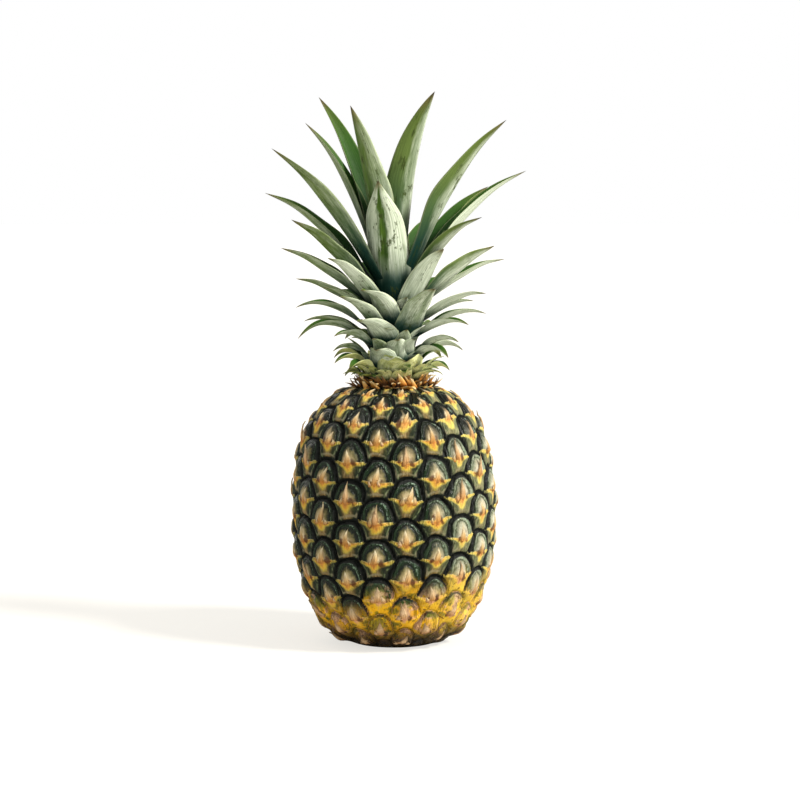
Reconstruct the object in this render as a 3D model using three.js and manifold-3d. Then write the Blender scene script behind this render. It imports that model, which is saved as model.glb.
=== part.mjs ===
// A whole ripe pineapple, standing on its base: one barrel-shaped fruit, the short stem that
// its crown grows on, a collar of dry bracts and the leaves of the crown, each its own solid.
//
// Millimetres. +Z is up, the origin is the centre of the flat base, and -Y is the front.
// An azimuth is in degrees about Z: 0 is the front and +90 is +X, the fruit's right side.

import * as THREE from 'three';
import { mergeVertices } from 'three/addons/utils/BufferGeometryUtils.js';
import Module from 'manifold-3d';

const wasm = await Module();
wasm.setup();

// Fruit
const BASE_RADIUS = 25.5;      // the flat that the fruit stands on
const FRUIT_TOP = 152;         // where the crown begins
const TOP_RADIUS = 21.5;
const FRUIT_SIDES = 63;        // three facets for each of the 21 upright columns of eyes
const FRUIT_RINGS = 20;

// Half-width of the fruit over its eyes at each height
const PROFILE = [
  [BASE_RADIUS, 0], [30.5, 2.2], [36.5, 6], [42.5, 11], [47.3, 18], [51.6, 28], [55.2, 38], [57.9, 50],
  [59.2, 66], [59.5, 82], [58.6, 97], [56.5, 111], [52.8, 124], [48.3, 133], [41.8, 141],
  [33.4, 147.5], [TOP_RADIUS, FRUIT_TOP],
];

// Crown stem
const STEM_FOOT_RADIUS = 17;
const STEM_TIP_RADIUS = 5;
const LEAF_LOWEST = 158;       // height where the lowest leaf leaves the stem
const LEAF_HIGHEST = 212;      // height where the topmost leaf leaves the stem
const STEM_SIDES = 20;

// Collar of dry bracts
const COLLAR_INNER = 17.9;
const COLLAR_OUTER = 24.5;
const COLLAR_HEIGHT = 4.6;
const COLLAR_TEETH = 18;

// Leaves
const CLEARANCE = 0.35;        // left free between neighbouring solids
const BEND_AT = 0.6;           // how far up its length a leaf bends out most
const FOLD = 62;               // degrees that each side of a leaf's channel rises
const CHANNEL_FROM = 0.45;     // the part of its length over which a leaf goes from clasping to channelled
const FOOT_THICKNESS = 1.9;
const TIP_THICKNESS = 0.9;
const EDGE_THINNING = 0.6;     // how much thinner a leaf is at its edges
const FOOT_WIDTH = 0.62;       // width at the foot, as a share of the full width
const LARGE_LEAF = 16;         // leaves at least this wide get the finer mesh
const SMALLEST_WEDGE = 0.02;   // cubic millimetres: two leaves that share less are clear

const SKIN = new THREE.Color(0x8a7a2c);
const STEM = new THREE.Color(0x9aa878);
const DRY_BRACT = new THREE.Color(0x9a5a34);
const LEAF = new THREE.Color(0x6f8f5a);
const PALE_LEAF = new THREE.Color(0xa9b894);

// The leaves from the top of the stem down:
// name, azimuth, reach of the tip from the axis, height of the tip, full width,
// fullness (low: long taper, high: broad to a blunt end), arch (rise of the middle over
// the straight line from foot to tip, as a share of its length), and how many degrees
// further round the foot is than the tip.
const LEAVES = [
  ['leaf_right_01', 46, 32.5, 321.5, 31, 2.8, 0.07, 0],
  ['leaf_left_01', -48, 33.5, 313.5, 31, 2.4, 0.015, 0],
  ['leaf_left_02', -128, 57, 321, 26, 2.2, 0.045, 0],
  ['leaf_left_03', -105, 54, 305, 22, 2.2, 0.055, 0],
  ['leaf_right_02', 74, 67, 305.5, 33, 2.2, 0.05, 0],
  ['leaf_left_04', -68, 75, 289, 28, 2.2, 0.04, 0],
  ['leaf_back_01', 178, 34, 258, 24, 2.5, 0.06, 0],
  ['leaf_right_03', 102, 79.5, 277, 23, 2.0, 0.06, 0],
  ['leaf_back_02', -163, 60, 262, 22, 2.2, 0.08, 0],
  ['leaf_right_04', 125, 69, 268, 22, 2.2, 0.055, 0],
  ['leaf_left_05', -105, 79, 264, 22, 2.2, 0.065, 0],
  ['leaf_back_03', 156, 62, 250, 22, 2.2, 0.08, 0],
  ['leaf_right_05', 60, 58, 250, 21, 2.2, 0.08, 0],
  ['leaf_left_06', -76, 61, 248.5, 26, 2.2, 0.025, 0],
  ['leaf_front_01', -15, 35, 271, 32, 3.2, 0.07, -12],
  ['leaf_back_04', -146, 55, 222, 20, 2.2, 0.08, 0],
  ['leaf_right_06', 82, 59, 233.5, 26, 2.6, 0, 0],
  ['leaf_left_07', -84, 66, 232, 22, 2.2, 0.03, 0],
  ['leaf_back_05', 174, 58, 224, 20, 2.2, 0.09, 0],
  ['leaf_right_07', 108, 69, 225, 18, 2.0, 0.05, 0],
  ['leaf_front_03', -42, 56, 227, 20, 2.8, 0.06, -6],
  ['leaf_left_08', -92, 57.5, 214, 17, 2.2, 0.03, 0],
  ['leaf_back_06', 146, 60, 212, 18, 2.2, 0.09, 0],
  ['leaf_front_02', 49, 38, 232, 29, 3.2, 0.05, 14],
  ['leaf_left_09', -70, 44, 211, 13, 2.0, 0.03, 0],
  ['leaf_back_07', -132, 48, 206, 17, 2.2, 0.09, 0],
  ['leaf_right_08', 76, 55, 206, 16, 2.2, 0.06, 0],
  ['leaf_front_05', -30, 38, 208.5, 20, 2.5, 0.12, 14],
  ['leaf_right_09', 102, 48, 202, 14, 2.2, 0.06, 0],
  ['leaf_back_08', -170, 52, 196, 17, 2.2, 0.11, 0],
  ['leaf_front_06', -42, 46, 205, 17, 3.0, 0.06, 0],
  ['leaf_left_10', -80, 58, 200, 15, 2.2, 0.11, 0],
  ['leaf_right_10', 92, 54, 195, 14, 2.2, 0.08, 0],
  ['leaf_front_04', 33, 42.5, 209.5, 23, 2.8, 0.05, 6],
  ['leaf_right_11', 64, 48, 190, 15, 2.2, 0.08, 0],
  ['leaf_left_11', -100, 54, 190, 14, 2.2, 0.09, 0],
  ['leaf_back_09', 150, 48, 184, 15, 2.2, 0.11, 0],
  ['leaf_left_12', -70, 59, 184, 15, 2.2, 0.15, 0],
  ['leaf_front_07', -36, 36, 190.5, 22, 2.6, 0.12, 14],
  ['leaf_left_13', -55, 42, 183, 14, 2.4, 0.09, 0],
  ['leaf_back_10', -140, 46, 178, 14, 2.2, 0.12, 0],
  ['leaf_right_12', 70, 40, 179, 13, 2.4, 0.09, 0],
  ['leaf_back_11', 172, 40, 173, 15, 2.2, 0.14, 0],
  ['leaf_right_13', 98, 41, 173, 13, 2.4, 0.11, 0],
  ['leaf_left_14', -84, 36, 173, 12, 2.4, 0.11, 0],
  ['leaf_right_14', 48, 42, 172, 14, 2.6, 0.11, 0],
  ['leaf_front_08', 27, 27, 181, 11, 3.0, 0.08, 0],
  ['leaf_back_12', 132, 38, 167, 12, 2.4, 0.15, 0],
  ['leaf_left_15', -110, 38, 168, 12, 2.4, 0.15, 0],
  ['leaf_front_09', 5, 27.5, 180, 17, 3.0, 0.10, 0],
  ['leaf_left_16', -62, 39, 167, 12, 2.4, 0.13, 0],
  ['leaf_back_13', -155, 36, 165, 14, 2.4, 0.15, 0],
  ['leaf_front_10', -21, 29, 174, 21, 2.8, 0.12, 0],
  ['leaf_left_17', -44, 37, 164, 13, 2.6, 0.13, 0],
  ['leaf_right_15', 80, 33, 162, 13, 2.6, 0.13, 0],
  ['leaf_front_11', 14, 30, 167.5, 32, 2.8, 0.12, 0],
  ['leaf_left_18', -92, 29, 158, 12, 2.6, 0.13, 0],
];

const radians = THREE.MathUtils.degToRad;
const smooth = (x) => THREE.MathUtils.smoothstep(x, 0, 1);

function material(name, colour, roughness) {
  const made = new THREE.MeshStandardMaterial({ color: colour, roughness, metalness: 0 });
  made.name = name;
  return made;
}

// A closed mesh with its shared corners merged, as a solid that can be cut
function toSolid(geometry) {
  const bare = geometry.clone();
  bare.deleteAttribute('normal');
  bare.deleteAttribute('uv');
  const merged = mergeVertices(bare, 1e-4);
  const vertProperties = new Float32Array(merged.attributes.position.array);
  const triVerts = new Uint32Array(merged.index.array);
  return new wasm.Manifold(new wasm.Mesh({ numProp: 3, vertProperties, triVerts }));
}

function toGeometry(solid) {
  const mesh = solid.getMesh();
  const geometry = new THREE.BufferGeometry();
  geometry.setAttribute('position', new THREE.BufferAttribute(mesh.vertProperties.slice(), 3));
  geometry.setIndex(new THREE.BufferAttribute(mesh.triVerts.slice(), 1));
  geometry.computeVertexNormals();
  return geometry;
}

// A solid from rings of points. Each ring has the same number of points, anticlockwise seen
// from the last ring, the first ring is capped flat and the last closes on one point.
function ringSolid(rings, tip) {
  const count = rings[0].length;
  const points = rings.flat();
  const faces = [];
  for (let i = 0; i + 1 < rings.length; i += 1) {
    for (let j = 0; j < count; j += 1) {
      const a = i * count + j;
      const b = i * count + ((j + 1) % count);
      faces.push(a, b, b + count, a, b + count, a + count);
    }
  }
  const last = (rings.length - 1) * count;
  points.push(tip);
  for (let j = 0; j < count; j += 1) {
    faces.push(last + j, last + ((j + 1) % count), points.length - 1);
  }
  const half = count / 2;
  for (let j = 0; j + 1 < half; j += 1) {
    const near = j + 1;
    const far = count - 1 - j;
    faces.push(j, far, near);
    if (far - 1 > near) faces.push(near, far, far - 1);
  }
  const geometry = new THREE.BufferGeometry();
  geometry.setAttribute('position', new THREE.Float32BufferAttribute(points.flatMap((p) => [p.x, p.y, p.z]), 3));
  geometry.setIndex(faces);
  return geometry;
}

// Fruit: the profile turned about the axis, with the flat that it stands on
function fruitGeometry() {
  const outline = new THREE.SplineCurve(PROFILE.map(([r, z]) => new THREE.Vector2(r, z)));
  const side = outline.getSpacedPoints(FRUIT_RINGS);
  const profile = [new THREE.Vector2(0, 0), ...side, new THREE.Vector2(0, FRUIT_TOP)];
  const geometry = new THREE.LatheGeometry(profile, FRUIT_SIDES);
  geometry.rotateX(Math.PI / 2);
  return geometry;
}

// Crown stem: a tapered core that every leaf grows from
function stemRadius(height) {
  const up = THREE.MathUtils.clamp((height - LEAF_LOWEST) / (LEAF_HIGHEST - LEAF_LOWEST), 0, 1);
  return THREE.MathUtils.lerp(STEM_FOOT_RADIUS, STEM_TIP_RADIUS, up ** 0.8);
}

function stemGeometry(grow) {
  const foot = FRUIT_TOP + CLEARANCE - grow;
  const top = LEAF_HIGHEST + 4 + grow;
  const heights = [foot, 158, 166, 176, 188, 200, 209, top];
  const side = heights.map((z) => new THREE.Vector2(stemRadius(z) - (z === top ? 2 : 0) + grow, z));
  const profile = [new THREE.Vector2(0, foot), ...side, new THREE.Vector2(0, top)];
  const geometry = new THREE.LatheGeometry(profile, STEM_SIDES);
  geometry.rotateX(Math.PI / 2);
  return geometry;
}

// Collar: a low ring whose rim is drawn out into dry pointed bracts
function collarGeometry() {
  const low = FRUIT_TOP + CLEARANCE;
  const profile = [
    new THREE.Vector2(COLLAR_INNER, low), new THREE.Vector2(COLLAR_OUTER - 4, low),
    new THREE.Vector2(COLLAR_OUTER, low + COLLAR_HEIGHT * 0.6),
    new THREE.Vector2(COLLAR_INNER, low + COLLAR_HEIGHT * 0.8),
    new THREE.Vector2(COLLAR_INNER, low),
  ];
  const geometry = new THREE.LatheGeometry(profile, COLLAR_TEETH * 2);
  geometry.rotateX(Math.PI / 2);
  const place = geometry.attributes.position;
  for (let i = 0; i < place.count; i += 1) {
    const radius = Math.hypot(place.getX(i), place.getY(i));
    if (radius > COLLAR_OUTER - 1) {
      const angle = Math.atan2(place.getX(i), -place.getY(i));
      const valley = 0.5 - 0.5 * Math.cos(angle * COLLAR_TEETH);
      const drawn = 1 - 0.14 * valley;
      place.setXYZ(i, place.getX(i) * drawn, place.getY(i) * drawn, place.getZ(i) - valley);
    }
  }
  return geometry;
}

// The middle line of a leaf, in the upright plane through the axis: a quadratic curve
// from its foot on the stem to its tip, pushed up and inward by the arch.
function leafLine(leaf, rank) {
  const [, , reach, tipHeight, , , arch] = leaf;
  const height = THREE.MathUtils.lerp(LEAF_HIGHEST, LEAF_LOWEST, rank / (LEAVES.length - 1));
  const foot = new THREE.Vector2(stemRadius(height) + CLEARANCE + FOOT_THICKNESS / 2, height);
  const tip = new THREE.Vector2(reach, tipHeight);
  const chord = tip.clone().sub(foot);
  const middle = foot.clone().lerp(tip, BEND_AT);
  middle.x = Math.max(middle.x - 2 * arch * chord.y, foot.x);
  middle.y += 2 * arch * chord.x;
  return new THREE.QuadraticBezierCurve(foot, middle, tip);
}

// One leaf as a closed solid. Across its width it is an arc: at the foot the arc bends round
// the stem, and further out it is a channel whose sides rise by FOLD from the middle line.
function leafSolid(leaf, rank, grow) {
  const [, azimuth, , , width, fullness, , sweep] = leaf;
  const large = width >= LARGE_LEAF;
  const stations = large ? 7 : 5;
  const half = large ? 2 : 1;
  const line = leafLine(leaf, rank);
  const rings = [];
  for (let i = 0; i < stations; i += 1) {
    const t = i / stations;
    const at = line.getPoint(t);
    const way = line.getTangent(t);
    const out = smooth(t / CHANNEL_FROM);
    const rise = new THREE.Vector2(-(1 - out) - out * way.y, out * way.x).normalize();
    const foot = THREE.MathUtils.lerp(FOOT_WIDTH, 1, smooth(t / 0.3));
    const side = width / 2 * (1 - t ** fullness) * foot + grow;
    const turn = (1 - out) * Math.min(side / at.x, 1.5) + out * radians(FOLD);
    const round = radians(azimuth + sweep * (1 - t));
    const thick = THREE.MathUtils.lerp(FOOT_THICKNESS, TIP_THICKNESS, smooth(t * 1.4)) / 2;
    const place = (s, face) => {
      const bend = turn * s;
      const depth = face * (thick * (1 - EDGE_THINNING * Math.abs(s)) + grow);
      const across = side / turn * Math.sin(bend) - depth * Math.sin(bend);
      const up = side / turn * (1 - Math.cos(bend)) + depth * Math.cos(bend);
      const r = at.x + up * rise.x;
      return new THREE.Vector3(
        r * Math.sin(round) + across * Math.cos(round),
        -r * Math.cos(round) + across * Math.sin(round),
        at.y + up * rise.y,
      );
    };
    const ring = [];
    for (let j = -half; j <= half; j += 1) ring.push(place(j / half, -1));
    for (let j = half; j >= -half; j -= 1) ring.push(place(j / half, 1));
    rings.push(ring);
  }
  const end = line.getPoint(1);
  const way = line.getTangent(1);
  const round = radians(azimuth);
  const r = end.x + grow * way.x;
  const tip = new THREE.Vector3(r * Math.sin(round), -r * Math.cos(round), end.y + grow * way.y);
  return toSolid(ringSolid(rings, tip));
}

// The biggest of the bodies that a cut leaves
function largest(solid) {
  const bodies = solid.decompose();
  return bodies.reduce((best, body) => (body.volume() > best.volume() ? body : best));
}

// Each leaf gives way to the stem and to the leaves below it, which clasp it from outside
function crownLeaves() {
  const placed = [toSolid(stemGeometry(CLEARANCE))];
  const leaves = [];
  for (let rank = LEAVES.length - 1; rank >= 0; rank -= 1) {
    let solid = leafSolid(LEAVES[rank], rank, 0);
    for (const other of placed) {
      if (solid.intersect(other).volume() > SMALLEST_WEDGE) solid = largest(solid.subtract(other));
    }
    placed.push(leafSolid(LEAVES[rank], rank, CLEARANCE));
    leaves.push([LEAVES[rank], solid]);
  }
  return leaves;
}

function mesh(name, geometry, finish) {
  const made = new THREE.Mesh(geometry, finish);
  made.name = name;
  return made;
}

const pineapple = new THREE.Group();
pineapple.add(mesh('fruit', fruitGeometry(), material('rind', SKIN, 0.45)));
pineapple.add(mesh('crown_stem', stemGeometry(0), material('stem', STEM, 0.7)));
pineapple.add(mesh('collar_bracts', collarGeometry(), material('dry_bract', DRY_BRACT, 0.8)));
for (const [leaf, solid] of crownLeaves()) {
  const colour = leaf[0].includes('front') ? PALE_LEAF : LEAF;
  pineapple.add(mesh(leaf[0], toGeometry(solid), material('leaf', colour, 0.5)));
}

export default pineapple;
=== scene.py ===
# A whole ripe pineapple standing on its base, on a plain pale floor in soft studio light.
# Sizes are in millimetres until a mesh is made, and then in metres. +Z is up, -Y is the front.
# An azimuth is in degrees about Z: 0 is the front and +90 is +X, the fruit's right side.

import math

import bpy
import numpy as np
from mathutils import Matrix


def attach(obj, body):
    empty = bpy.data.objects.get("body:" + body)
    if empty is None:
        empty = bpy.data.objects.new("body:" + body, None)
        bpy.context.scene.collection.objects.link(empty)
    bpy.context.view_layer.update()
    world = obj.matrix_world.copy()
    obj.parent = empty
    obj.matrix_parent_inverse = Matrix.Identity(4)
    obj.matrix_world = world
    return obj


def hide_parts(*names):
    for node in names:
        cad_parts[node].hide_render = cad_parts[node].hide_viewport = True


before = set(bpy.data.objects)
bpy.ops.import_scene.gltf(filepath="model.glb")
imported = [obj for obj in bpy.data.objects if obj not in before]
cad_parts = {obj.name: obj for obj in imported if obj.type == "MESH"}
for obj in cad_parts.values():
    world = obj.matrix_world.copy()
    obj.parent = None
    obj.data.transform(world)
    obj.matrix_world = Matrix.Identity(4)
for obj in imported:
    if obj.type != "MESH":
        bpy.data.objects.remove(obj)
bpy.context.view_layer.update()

MM = 0.001
SEED = 21

# Fruit
FRUIT_TOP = 152.0
BASE_RADIUS = 25.5
SCAR_RADIUS = 12.0
# Half-width over the eyes and height, from the edge of the flat base to the neck
PROFILE = [
    [25.5, 0], [30.5, 2.2], [36.5, 6], [42.5, 11], [47.3, 18], [51.6, 28], [55.2, 38], [57.9, 50],
    [59.2, 66], [59.5, 82], [58.6, 97], [56.5, 111], [52.8, 124], [48.3, 133], [41.8, 141],
    [33.4, 147.5], [21.5, 152],
]

# Eyes: upright columns, each lower than the one on its left
COLUMNS = 21
STEPS_DOWN = 10
COLUMN_ANGLE = 2 * math.pi / COLUMNS
FIRST_COLUMN = math.radians(7.3)
PITCH = 22.9
FIRST_STAR = 9.2
ARCH_WIDTH = 0.587
ARCH_HEIGHT = 0.65
DOME_WIDTH = 0.34
DOME_HEIGHT = 0.50
ARCH_POWER = 2.2
ARCH_SIZE = 11.0
SKIRT_WIDTH = 0.62
COLUMN_WIDTH = 17.6
# The random numbers of an eye are kept for this many rows, from LOWEST_ROW up
EYE_ROWS = 24
LOWEST_ROW = -8
# The star of an eye: it sits STAR_UP pitches over the foot of the arch. STAR_OUTLINE is how far
# it reaches, in units of STAR_UNIT, at parts of a half turn from straight up to
# straight down. Its points are the bract, the two arms and the foot
STAR_UNIT = 12.0
STAR_UP = 0.08
STAR_OUTLINE = [
    [0, 0.84], [0.08, 0.50], [0.20, 0.35], [0.34, 0.33], [0.41, 0.48], [0.455, 0.98], [0.49, 0.74],
    [0.54, 0.54], [0.61, 0.42], [0.72, 0.36], [0.86, 0.42], [1, 0.47],
]

# Crown
STEM_FOOT_RADIUS = 17.0
STEM_TIP_RADIUS = 5.0
LEAF_LOWEST = 158.0
LEAF_HIGHEST = 212.0
CLEARANCE = 0.35
BEND_AT = 0.6
FOLD = math.radians(62)
CHANNEL_FROM = 0.45
FOOT_THICKNESS = 1.9

# The leaves from the top of the stem down: name, azimuth, reach of the tip from the axis,
# height of the tip, full width, fullness, arch, and how much further round the foot is
LEAVES = [
    ["right_01", 46, 32.5, 321.5, 31, 2.8, 0.07, 0],
    ["left_01", -48, 33.5, 313.5, 31, 2.4, 0.015, 0],
    ["left_02", -128, 57, 321, 26, 2.2, 0.045, 0],
    ["left_03", -105, 54, 305, 22, 2.2, 0.055, 0],
    ["right_02", 74, 67, 305.5, 33, 2.2, 0.05, 0],
    ["left_04", -68, 75, 289, 28, 2.2, 0.04, 0],
    ["back_01", 178, 34, 258, 24, 2.5, 0.06, 0],
    ["right_03", 102, 79.5, 277, 23, 2.0, 0.06, 0],
    ["back_02", -163, 60, 262, 22, 2.2, 0.08, 0],
    ["right_04", 125, 69, 268, 22, 2.2, 0.055, 0],
    ["left_05", -105, 79, 264, 22, 2.2, 0.065, 0],
    ["back_03", 156, 62, 250, 22, 2.2, 0.08, 0],
    ["right_05", 60, 58, 250, 21, 2.2, 0.08, 0],
    ["left_06", -76, 61, 248.5, 26, 2.2, 0.025, 0],
    ["front_01", -15, 35, 271, 32, 3.2, 0.07, -12],
    ["back_04", -146, 55, 222, 20, 2.2, 0.08, 0],
    ["right_06", 82, 59, 233.5, 26, 2.6, 0.0, 0],
    ["left_07", -84, 66, 232, 22, 2.2, 0.03, 0],
    ["back_05", 174, 58, 224, 20, 2.2, 0.09, 0],
    ["right_07", 108, 69, 225, 18, 2.0, 0.05, 0],
    ["front_03", -42, 56, 227, 20, 2.8, 0.06, -6],
    ["left_08", -92, 57.5, 214, 17, 2.2, 0.03, 0],
    ["back_06", 146, 60, 212, 18, 2.2, 0.09, 0],
    ["front_02", 49, 38, 232, 29, 3.2, 0.05, 14],
    ["left_09", -70, 44, 211, 13, 2.0, 0.03, 0],
    ["back_07", -132, 48, 206, 17, 2.2, 0.09, 0],
    ["right_08", 76, 55, 206, 16, 2.2, 0.06, 0],
    ["front_05", -30, 38, 208.5, 20, 2.5, 0.12, 14],
    ["right_09", 102, 48, 202, 14, 2.2, 0.06, 0],
    ["back_08", -170, 52, 196, 17, 2.2, 0.11, 0],
    ["front_06", -42, 46, 205, 17, 3.0, 0.06, 0],
    ["left_10", -80, 58, 200, 15, 2.2, 0.11, 0],
    ["right_10", 92, 54, 195, 14, 2.2, 0.08, 0],
    ["front_04", 33, 42.5, 209.5, 23, 2.8, 0.05, 6],
    ["right_11", 64, 48, 190, 15, 2.2, 0.08, 0],
    ["left_11", -100, 54, 190, 14, 2.2, 0.09, 0],
    ["back_09", 150, 48, 184, 15, 2.2, 0.11, 0],
    ["left_12", -70, 59, 184, 15, 2.2, 0.15, 0],
    ["front_07", -36, 36, 190.5, 22, 2.6, 0.12, 14],
    ["left_13", -55, 42, 183, 14, 2.4, 0.09, 0],
    ["back_10", -140, 46, 178, 14, 2.2, 0.12, 0],
    ["right_12", 70, 40, 179, 13, 2.4, 0.09, 0],
    ["back_11", 172, 40, 173, 15, 2.2, 0.14, 0],
    ["right_13", 98, 41, 173, 13, 2.4, 0.11, 0],
    ["left_14", -84, 36, 173, 12, 2.4, 0.11, 0],
    ["right_14", 48, 42, 172, 14, 2.6, 0.11, 0],
    ["front_08", 27, 27, 181, 11, 3.0, 0.08, 0],
    ["back_12", 132, 38, 167, 12, 2.4, 0.15, 0],
    ["left_15", -110, 38, 168, 12, 2.4, 0.15, 0],
    ["front_09", 5, 27.5, 180, 17, 3.0, 0.10, 0],
    ["left_16", -62, 39, 167, 12, 2.4, 0.13, 0],
    ["back_13", -155, 36, 165, 14, 2.4, 0.15, 0],
    ["front_10", -21, 29, 174, 21, 2.8, 0.12, 0],
    ["left_17", -44, 37, 164, 13, 2.6, 0.13, 0],
    ["right_15", 80, 33, 162, 13, 2.6, 0.13, 0],
    ["front_11", 14, 30, 167.5, 32, 2.8, 0.12, 0],
    ["left_18", -92, 29, 158, 12, 2.6, 0.13, 0],
]

# Points along and across: the rind up its side and round it, a bract tip, a big and a small
# leaf, a bract of the collar and a scale leaf
RIND_GRID = (216, 420)
BRACT_GRID = (6, 5)
BIG_LEAF_GRID = (56, 17)
SMALL_LEAF_GRID = (34, 11)
COLLAR_GRID = (6, 5)
SCALE_GRID = (9, 7)
# Leaves narrower than this are small
SMALL_LEAF = 16
# Leaves that grow one after another round a stem are this far apart, in degrees
GROWTH_TURN = 137.5

# How pale a leaf is, which is its waxy bloom and partly painted light, how strong its green middle
# stripe is, how blotched it is, and how much paler it gets towards its right edge, as painted light
LEAF_FINISH = {
    "front_01": (0.85, 1.0, 0.9, 0.2),
    "front_02": (1.0, 0.0, 0.7, 0.3),
    "front_03": (0.80, 0.2, 0.9, 0.4),
    "front_04": (0.85, 0.6, 0.5, 0.5),
    "front_05": (0.85, 0.5, 0.4, 0.4),
    "front_06": (0.45, 0.2, 0.6, 0.3),
    "front_07": (0.95, 0.1, 0.3, 0.3),
    "front_08": (1.1, 0.0, 0.1, 0.1),
    "front_09": (0.85, 0.4, 0.3, 0.3),
    "front_10": (0.65, 0.1, 0.3, 0.3),
    "front_11": (0.75, 0.1, 0.5, 0.3),
    "right_01": (-0.08, 0.5, 0.9, 1.0),
    "right_02": (0.25, 0.3, 0.8, 0.8),
    "right_03": (1.0, 0.0, 0.1, 0.3),
    "right_04": (0.15, 0.2, 0.3, 0.2),
    "right_05": (0.50, 0.1, 0.4, 1.0),
    "right_06": (0.65, 0.1, 0.3, 0.9),
    "left_01": (0.12, 0.5, 0.9, 0.45),
    "left_02": (0.10, 0.4, 0.5, 0.2),
    "left_03": (0.2, 0.2, 0.5, 0.2),
    "left_04": (0.12, 0.2, 0.6, 0.2),
    "left_06": (0.1, 0.2, 0.6, 0.2),
}

# How far the tip of a leaf hangs down from the curve of its middle line
TIP_DROOP = {"left_10": 2.5, "left_12": 4.0, "right_10": 1.5, "right_11": 2.0, "right_14": 2.5}
SMALL_LEAF_DROOP = 1.4
# Leaves whose tips are lower than this are yellower
LOW_LEAF = 170
# How far a leaf that reaches out further than LONG_REACH arches up before its tip turns level
TIP_HUMP = 0.8
LONG_REACH = 50


# Arithmetic

def ease(x):
    """Rises from 0 to 1 as x does, with no slope at either end."""
    x = np.clip(x, 0, 1)
    return x * x * (3 - 2 * x)


def between(a, b, t):
    return a + (b - a) * t


def running_sum(values, c):
    """The integral over c, from the middle column outwards, of values on each row."""
    steps = (values[:, 1:] + values[:, :-1]) / 2 * np.diff(c)
    total = np.concatenate([np.zeros((len(values), 1)), np.cumsum(steps, 1)], 1)
    return total - total[:, [values.shape[1] // 2]]


def smooth_curve(points, steps):
    """A curve through the points. On each stretch it is a cubic, whose slope at a point is half
    the way from the point before to the point after."""
    points = np.asarray(points, float)
    last = len(points) - 1
    start = points[:-1]
    end = points[1:]
    before = points[np.maximum(np.arange(last) - 1, 0)]
    after = points[np.minimum(np.arange(last) + 2, last)]
    leave = (end - before) / 2
    arrive = (after - start) / 2
    t = np.linspace(0, 1, steps, endpoint=False)[:, None, None]
    cubic = (2 * start - 2 * end + leave + arrive) * t**3
    square = (-3 * start + 3 * end - 2 * leave - arrive) * t**2
    curve = cubic + square + leave * t + start
    return np.vstack([curve.transpose(1, 0, 2).reshape(-1, 2), points[-1:]])


# The outline of the fruit by its length s along the skin: s is 0 at the edge of the base,
# less than 0 under the base and more than SIDE_LENGTH over the top
side = smooth_curve(PROFILE, 40)
outline = np.vstack([[[0, 0]], side, [[0, FRUIT_TOP]]])
outline_s = np.concatenate([[0], np.cumsum(np.hypot(*np.diff(outline, axis=0).T))]) - BASE_RADIUS
SIDE_LENGTH = outline_s[-2]
TOP_LENGTH = outline_s[-1]
even_s = np.linspace(-BASE_RADIUS, TOP_LENGTH, 1600)
even_r = np.interp(even_s, outline_s, outline[:, 0])
even_z = np.interp(even_s, outline_s, outline[:, 1])
soften = np.hanning(31) / np.hanning(31).sum()
out_r = np.convolve(np.pad(np.gradient(even_z, even_s), 15, "edge"), soften, "valid")
out_z = np.convolve(np.pad(-np.gradient(even_r, even_s), 15, "edge"), soften, "valid")
out_length = np.hypot(out_r, out_z)


def skin_place(theta, s, height):
    """A point of the fruit's skin: round the axis by theta, s along the outline, and height
    straight out from the smooth outline there."""
    r = np.interp(s, even_s, even_r) + height * np.interp(s, even_s, out_r / out_length)
    z = np.interp(s, even_s, even_z) + height * np.interp(s, even_s, out_z / out_length)
    return np.stack([r * np.sin(theta), -r * np.cos(theta), z], axis=-1)


# Meshes

def about_axis(r, across, z, turn):
    """The points at radius r round the axis by turn, and then moved across to the right."""
    x = r * np.sin(turn) + across * np.cos(turn)
    y = -r * np.cos(turn) + across * np.sin(turn)
    return np.stack(np.broadcast_arrays(x, y, z), axis=-1)


def grid_faces(rows, columns):
    """Quads between the neighbouring rows and columns of a grid of points."""
    index = np.arange(rows * columns).reshape(rows, columns)
    return np.stack([index[:-1, :-1], index[:-1, 1:], index[1:, 1:], index[1:, :-1]], -1).reshape(-1, 4)


def shell_faces(rows, columns):
    """Quads of a closed shell: a front grid, a back grid facing the other way, and the rim that
    joins their edges."""
    index = np.arange(rows * columns).reshape(rows, columns)
    edge = np.concatenate([index[0, :], index[1:, -1], index[-1, -2::-1], index[-2:0:-1, 0]])
    following = np.roll(edge, -1)
    size = rows * columns
    front = grid_faces(rows, columns)
    rim = np.stack([following, edge, edge + size, following + size], -1)
    return np.vstack([front, front[:, ::-1] + size, rim])


def facing_out(points, faces):
    """The faces, turned over if the volume they enclose comes out negative."""
    a, b, c, d = (points[faces[:, i]] for i in range(4))
    volume = np.einsum("ij,ij->i", a, np.cross(b, c)) + np.einsum("ij,ij->i", a, np.cross(c, d))
    return faces if volume.sum() > 0 else faces[:, ::-1]


def make_piece(name, points, faces, fields, finish, replaced=(), fans=()):
    """A smooth mesh with one number for each point and field, riding with the fruit."""
    mesh = bpy.data.meshes.new(name)
    mesh.from_pydata((points * MM).tolist(), [], faces.tolist() + list(fans))
    mesh.shade_smooth()
    for field, values in fields.items():
        data = mesh.attributes.new(field, "FLOAT", "POINT").data
        data.foreach_set("value", np.ascontiguousarray(values, dtype=np.float32).ravel())
    mesh.materials.append(finish)
    piece = bpy.data.objects.new(name, mesh)
    bpy.context.scene.collection.objects.link(piece)
    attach(piece, "root")
    if replaced:
        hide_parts(*replaced)


# 1 on the front of a shell and 0 on its back
FRONT = np.array([1, 0])[:, None, None]


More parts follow.
